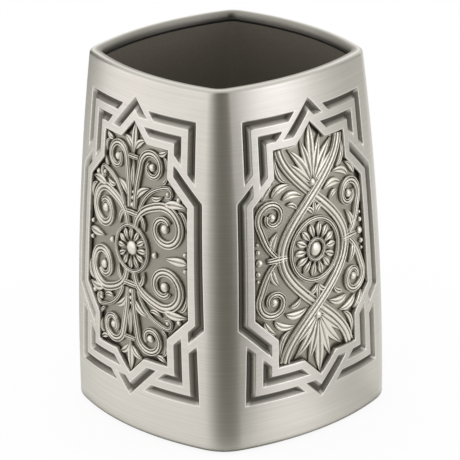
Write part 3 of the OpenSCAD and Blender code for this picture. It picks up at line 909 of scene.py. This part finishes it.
# Shaded and lit copies of one cast metal: the scroll panels' colours are painted darker as painted shade, the
# braid panels' lighter as painted light.
scroll_shaded_metal = cast_relief("scroll_relief_shaded", ground=(0.298, 0.282, 0.234, 1), top=(0.725, 0.697, 0.615, 1))
braid_lit_metal = cast_relief("braid_relief_lit", ground=(0.37, 0.35, 0.29, 1), top=(0.88, 0.847, 0.748, 1))
relief_tree = band_tree()
for first_side, design, metal in ((0, scroll_design(), scroll_shaded_metal), (1, braid_design(), braid_lit_metal)):
    bands, leaves, berries = design
    ornament = [bent(carved(relief_tree, bands, berries, REEDS, metal)),
                bent(carved(relief_tree, leaves, [], VEIN, metal))]
    for side in (first_side, first_side + 2):
        name = ("front", "right", "back", "left")[side]
        plate = [(quarter_turns(points, side), faces) for points, faces in panel_plate()]
        raised = [(quarter_turns(points, side), *rest) for points, *rest in ornament]
        add_piece("relief_" + name, closed_mesh("relief_" + name, plate, raised), metal, "relief_metal",
                  "relief_panel_" + name)

# Rim seal: a thin ring of black rubber, pressed between the liner's upper edge and the shell's lip. A small
# bead of it is squeezed out past the liner's inner face, and that bead is all that shows.

LINER_OUT = 2.55  # depth of the liner's outer face below the shell's outer face
LINER_IN = 3.45  # depth of the liner's inner face
SEAL_THICK = 0.5
LINER_TOP = LIP_UNDER - SEAL_THICK
BEAD = 0.2  # how far the seal is squeezed out past the liner's inner face
BEAD_DROP = 0.35  # how far the bead hangs below the liner's edge
BEAD_SEAT = 0.02  # play between the bead and the liner
MOTTLE = 0.15  # how much lighter and darker a plain material gets
GRAIN_STRENGTH = 0.4


def plain_material(name, colour, roughness, grain, depth):
    """A matt material with a fine cast or moulded grain."""
    material, tree, shader = new_material(name)
    place = add_node(tree, "ShaderNodeTexCoord").outputs["Object"]
    pores = noise(tree, place, grain)
    darker, lighter = ((*(share * c for c in colour), 1) for share in (1 - MOTTLE, 1 + MOTTLE))
    set_inputs(tree, shader, {
        "Base Color": mix_colour(tree, pores, darker, lighter),
        "Roughness": roughness,
        "Normal": bump(tree, pores, GRAIN_STRENGTH, depth)})
    return material


seal_corners = [(LINER_IN + BEAD_SEAT, LINER_TOP), (LINER_OUT, LINER_TOP),
                (LINER_OUT, LIP_UNDER), (LINER_IN + BEAD, LIP_UNDER),
                (LINER_IN + BEAD, LINER_TOP), (LINER_IN + BEAD_SEAT, LINER_TOP - BEAD_DROP)]
seal_section = [(half_width(z) - depth, z) for depth, z in seal_corners]
seal_rubber = plain_material("seal_rubber", (0.012, 0.012, 0.011), roughness=0.7, grain=1500.0, depth=0.00003)
add_piece("seal", closed_mesh("seal", [swept_round(seal_section, closed=True)]),
          seal_rubber, "seal_rubber", "rim_seal")

# Inner liner: a deep cup moulded in dark grey matt plastic, with the shell's plan and a rounding between its
# wall and floor. It goes in from below and is held between the lip and the base plate.

LINER_FLOOR = 1.2
LINER_ROUND = 4.0
LINER_LEVELS = 24
EDGE_BAND = 1.0  # height of the liner's edge above the levels of its wall
FLOOR_RISE = 0.2  # how far the flat middle of the floor is raised
FLOOR_MIDDLE = CORE + 1  # half width of that middle
FLOOR_SLOPE = 1.0


def filled(half, z):
    """A flat face of the body's plan, with a narrow step beside its edge that keeps its shading flat."""
    edge, inner = plan_ring(half, z), plan_ring(half - SUPPORT, z)
    flat, faces = triangles(edge[:, :2], extra=inner[:, :2])
    return np.column_stack([flat, np.full(len(flat), z)]), faces


floor_top = BASE_TOP + LINER_FLOOR
outer_round = LINER_ROUND + LINER_FLOOR
out_x = half_width(BASE_TOP + outer_round) - LINER_OUT - outer_round
in_x = half_width(floor_top + LINER_ROUND) - LINER_IN - LINER_ROUND
liner_section = [(FLOOR_MIDDLE, BASE_TOP + FLOOR_RISE), (FLOOR_MIDDLE, BASE_TOP)]
liner_section += arc(out_x, BASE_TOP + outer_round, outer_round, outer_round, -90, 0)
liner_edge = [LINER_TOP, LINER_TOP - SUPPORT]
outer_levels = np.linspace(BASE_TOP + outer_round, LINER_TOP - EDGE_BAND, LINER_LEVELS)
outer_levels = [*outer_levels[1:], *liner_edge[::-1]]
inner_levels = np.linspace(LINER_TOP - EDGE_BAND, floor_top + LINER_ROUND, LINER_LEVELS)
inner_levels = [*liner_edge, *inner_levels]
liner_section += [(half_width(z) - LINER_OUT, z) for z in outer_levels]
liner_section += [(half_width(z) - LINER_IN, z) for z in inner_levels]
liner_section += arc(in_x, floor_top + LINER_ROUND, LINER_ROUND, LINER_ROUND, 0, -90)[1:]
liner_section += [(FLOOR_MIDDLE + FLOOR_SLOPE, floor_top), (FLOOR_MIDDLE, floor_top + FLOOR_RISE)]
liner_patches = [swept_round(liner_section), filled(*liner_section[0]), filled(*liner_section[-1])]
liner_plastic = plain_material("liner_plastic", (0.158, 0.143, 0.111),
                               roughness=0.6, grain=900.0, depth=0.00003)
add_piece("liner", closed_mesh("liner", liner_patches), liner_plastic, "liner_plastic", "inner_liner")

# Base plate: a flat plate stamped from the same metal, with broken edges. It is pressed into the rebate in
# the shell's foot from below, and holds the liner up under the lip.

BASE_GAP = 0.1
PAD_THICK = 1.3
BASE_HALF = half_width(SHELL_FOOT) - WALL + BASE_LEDGE - BASE_GAP
EDGE_BREAK = 0.25


def flat_plate(half, low, high):
    """Patches of a flat plate of the body's plan with broken edges."""
    section = [(half - EDGE_BREAK, low), (half, low + EDGE_BREAK),
               (half, high - EDGE_BREAK), (half - EDGE_BREAK, high)]
    return [swept_round(section), filled(*section[0]), filled(*section[-1])]


add_piece("base", closed_mesh("base", flat_plate(BASE_HALF, PAD_THICK, BASE_TOP)),
          pewter, "base_metal", "base_plate")

# Base pad: a soft black foam sheet, cut to the plate's outline and glued under it. It stands a little below
# the shell's foot, so the tumbler rests on it.

pad_rubber = plain_material("pad_rubber", (0.03, 0.03, 0.03), roughness=0.85, grain=2500.0, depth=0.0001)
add_piece("pad", closed_mesh("pad", flat_plate(BASE_HALF, 0.0, PAD_THICK)),
          pad_rubber, "pad_rubber", "base_pad")

# Stage: a plain pale floor and a white studio, with the camera where the photograph was taken from. Dark
# cards that only the metal mirrors, and three soft lamps, shade the sides as in the photograph.

CAMERA_AZIMUTH = 48.39
CAMERA_ELEVATION = 20.604
CAMERA_ROLL = math.radians(-0.903)
CAMERA_DISTANCE = 1042.5
CAMERA_TARGET_ACROSS = 0.37
CAMERA_TARGET_Z = 53.06
FOCAL_PIXELS = 3480.2
IMAGE_PIXELS = 460
SENSOR = 36.0


def toward(azimuth, elevation=0):
    """The direction at an azimuth from the front, turning to the right, and an elevation, in degrees."""
    a, e = math.radians(azimuth), math.radians(elevation)
    return Vector((math.sin(a) * math.cos(e), -math.cos(a) * math.cos(e), math.sin(e)))


level_right = toward(CAMERA_AZIMUTH + 90)
back = toward(CAMERA_AZIMUTH, CAMERA_ELEVATION)
level_up = back.cross(level_right)
right = math.cos(CAMERA_ROLL) * level_right + math.sin(CAMERA_ROLL) * level_up
up = math.cos(CAMERA_ROLL) * level_up - math.sin(CAMERA_ROLL) * level_right
place = (level_right * CAMERA_TARGET_ACROSS + Vector((0, 0, CAMERA_TARGET_Z)) + back * CAMERA_DISTANCE) * MM
camera_data = bpy.data.cameras.new("camera")
camera_data.sensor_width = SENSOR
camera_data.lens = SENSOR * FOCAL_PIXELS / IMAGE_PIXELS
camera = put_in_scene("camera", camera_data)
camera.matrix_world = Matrix((right, up, back)).transposed().to_4x4()
camera.location = place
bpy.context.scene.camera = camera

FLOOR_HALF = 1.5  # metres
FLOOR_COLOUR = (0.97, 0.97, 0.97, 1)
FLOOR_WHITENESS = 0.9


def white_to_the_eye(tree, lit, white, whiteness):
    """Mixes a lit surface with plain white for camera, mirror and glass rays."""
    ray = add_node(tree, "ShaderNodeLightPath").outputs
    seen = math_node(tree, "MAXIMUM", ray["Is Camera Ray"], ray["Is Glossy Ray"])
    seen = math_node(tree, "MAXIMUM", seen, ray["Is Transmission Ray"])
    share = math_node(tree, "MULTIPLY", seen, whiteness)
    return add_node(tree, "ShaderNodeMixShader", {0: share, 1: lit, 2: white}).outputs[0]


floor_mesh = bpy.data.meshes.new("floor")
floor_corners = [(x * FLOOR_HALF, y * FLOOR_HALF, 0) for x, y in ((-1, -1), (1, -1), (1, 1), (-1, 1))]
floor_mesh.from_pydata(floor_corners, [], [(0, 1, 2, 3)])
floor = put_in_scene("floor", floor_mesh)
floor_material, floor_tree, floor_shader = new_material("pale_floor")
set_inputs(floor_tree, floor_shader, {"Base Color": FLOOR_COLOUR, "Roughness": 0.9})
floor_white = add_node(floor_tree, "ShaderNodeEmission", {"Color": (1, 1, 1, 1), "Strength": 1.0})
floor_mix = white_to_the_eye(floor_tree, floor_shader.outputs[0], floor_white.outputs[0], FLOOR_WHITENESS)
set_inputs(floor_tree, floor_tree.nodes["Material Output"], {"Surface": floor_mix})
floor_mesh.materials.append(floor_material)

world = bpy.data.worlds.new("studio")
bpy.context.scene.world = world
world.use_nodes = True
set_inputs(world.node_tree, world.node_tree.nodes["Background"], {"Color": (1, 1, 1, 1), "Strength": 1.0})

CARD_COLOUR = (0.05, 0.044, 0.02, 1)
CARD_ACROSS = 24
CARD_UPWARD = 10
NEAR_FADE = 0.25  # share of a card's depth over which its near edge darkens from clear
SIDE_FADE = 0.25  # share of its width over which its sides do
CARD_LIFT = 0.3  # height of a lying card above the floor
CONTACT_REACH = 1.5  # how far the painted contact shadow under the foot reaches past the foot
CONTACT_LIFT = 0.2
FRONT_REACH = 1.222  # distance of the front card's apex from the axis, as a share of the foot's reach


def add_card(name, points, faces, fade, shade):
    """A dark studio card that only the metal mirrors; the higher its shade, the darker it is."""
    mesh = bpy.data.meshes.new(name)
    mesh.from_pydata(points, [], faces)
    mesh.attributes.new("fade", "FLOAT", "POINT").data.foreach_set("value", fade)
    material, tree, shader = new_material(name)
    set_inputs(tree, shader, {"Base Color": CARD_COLOUR, "Roughness": 1.0})
    amount = math_node(tree, "MULTIPLY", attribute(tree, "fade"), shade)
    clear = add_node(tree, "ShaderNodeBsdfTransparent").outputs[0]
    mix = add_node(tree, "ShaderNodeMixShader", {0: amount, 1: clear, 2: shader.outputs[0]})
    set_inputs(tree, tree.nodes["Material Output"], {"Surface": mix.outputs[0]})
    mesh.materials.append(material)
    card = put_in_scene(name, mesh)
    card.visible_camera = False
    card.visible_shadow = False
    card.visible_diffuse = False


def dark_card(name, corners, shade, near=1.0, soft=SIDE_FADE):
    """A card between four corners, faded at its sides and near edge."""
    low_left, low_right, high_right, high_left = (np.array(c, float) for c in corners)
    points, faces, fade = [], [], []
    for i in range(CARD_ACROSS + 1):
        t = i / CARD_ACROSS
        low = low_left * (1 - t) + low_right * t
        high = high_left * (1 - t) + high_right * t
        edge = min(1.0, min(t, 1 - t) / soft)
        for j in range(CARD_UPWARD + 1):
            h = j / CARD_UPWARD
            points.append((low * (1 - h) + high * h) * MM)
            fade.append(edge * edge * (3 - 2 * edge) * min(1.0, near + h / NEAR_FADE))
    for i in range(CARD_ACROSS):
        for j in range(CARD_UPWARD):
            a = i * (CARD_UPWARD + 1) + j
            faces.append((a, a + CARD_UPWARD + 1, a + CARD_UPWARD + 2, a + 1))
    add_card(name, points, faces, fade, shade)


# Painted shadow: a dark card under the foot, which only the metal mirrors, stands in for the contact shadow.
contact_shadow_points, contact_shadow_faces = filled(half_width(SHELL_FOOT) + CONTACT_REACH, CONTACT_LIFT)
add_card("contact_shadow_card", contact_shadow_points * MM, contact_shadow_faces, [1.0] * len(contact_shadow_points), shade=0.8)


def lying_card(name, middle, first, last, near, far, shade, fade=1.0, soft=SIDE_FADE):
    """A wedge on the floor between two directions, from a near to a far distance."""
    corners = [middle + np.array(toward(azimuth)) * distance + (0, 0, CARD_LIFT)
               for azimuth, distance in ((first, near), (last, near), (last, far), (first, far))]
    dark_card(name, corners, shade, fade, soft)


front_foot = np.array(toward(45)) * (CORNER_AXIS + half_width(SHELL_FOOT) - CORE) * FRONT_REACH
lying_card("front_card", front_foot, first=-10, last=124, near=14, far=1300, shade=0.88, fade=0.65, soft=0.45)
lying_card("side_card", np.zeros(3), first=96, last=140, near=50, far=330, shade=0.25)


def standing_card(name, azimuth, distance, width, high, shade, soft=SIDE_FADE):
    """An upright card that faces the axis."""
    middle = np.array(toward(azimuth)) * distance
    side = np.array(toward(azimuth + 90)) * width / 2
    lift = np.array((0, 0, high))
    corners = [middle - side, middle + side, middle + side + lift, middle - side + lift]
    dark_card(name, corners, shade, soft=soft)


standing_card("camera_card", azimuth=59, distance=1300, width=3000, high=2600, shade=1.0, soft=0.36)
standing_card("left_card", azimuth=-88, distance=500, width=440, high=440, shade=0.97)
standing_card("right_card", azimuth=158, distance=500, width=440, high=500, shade=0.58)
standing_card("back_card", azimuth=228, distance=700, width=1100, high=240, shade=0.2)

LAMP_ELEVATION = 9
LAMP_DISTANCE = 0.9  # metres, as the lamps' sizes
LAMP_HIGH = 0.26


def soft_lamp(name, azimuth, width, power, tint):
    """A soft box that faces the middle of the tumbler."""
    data = bpy.data.lights.new(name, "AREA")
    data.shape = "RECTANGLE"
    data.color = tint
    data.size = width
    data.size_y = LAMP_HIGH
    data.energy = power
    lamp = put_in_scene(name, data)
    away = toward(azimuth, LAMP_ELEVATION)
    lamp.location = away * LAMP_DISTANCE + Vector((0, 0, HEIGHT * MM / 2))
    lamp.rotation_euler = away.to_track_quat("Z", "Y").to_euler()


soft_lamp("lamp_left", azimuth=-50, width=0.5, power=0.56, tint=(1.0, 0.9, 1.05))
soft_lamp("lamp_front", azimuth=-14, width=0.6, power=0.52, tint=(1.0, 0.9, 1.05))
soft_lamp("lamp_right", azimuth=112, width=0.5, power=1.2, tint=(1.0, 0.97, 1.1))

bpy.context.scene.view_settings.view_transform = "Standard"
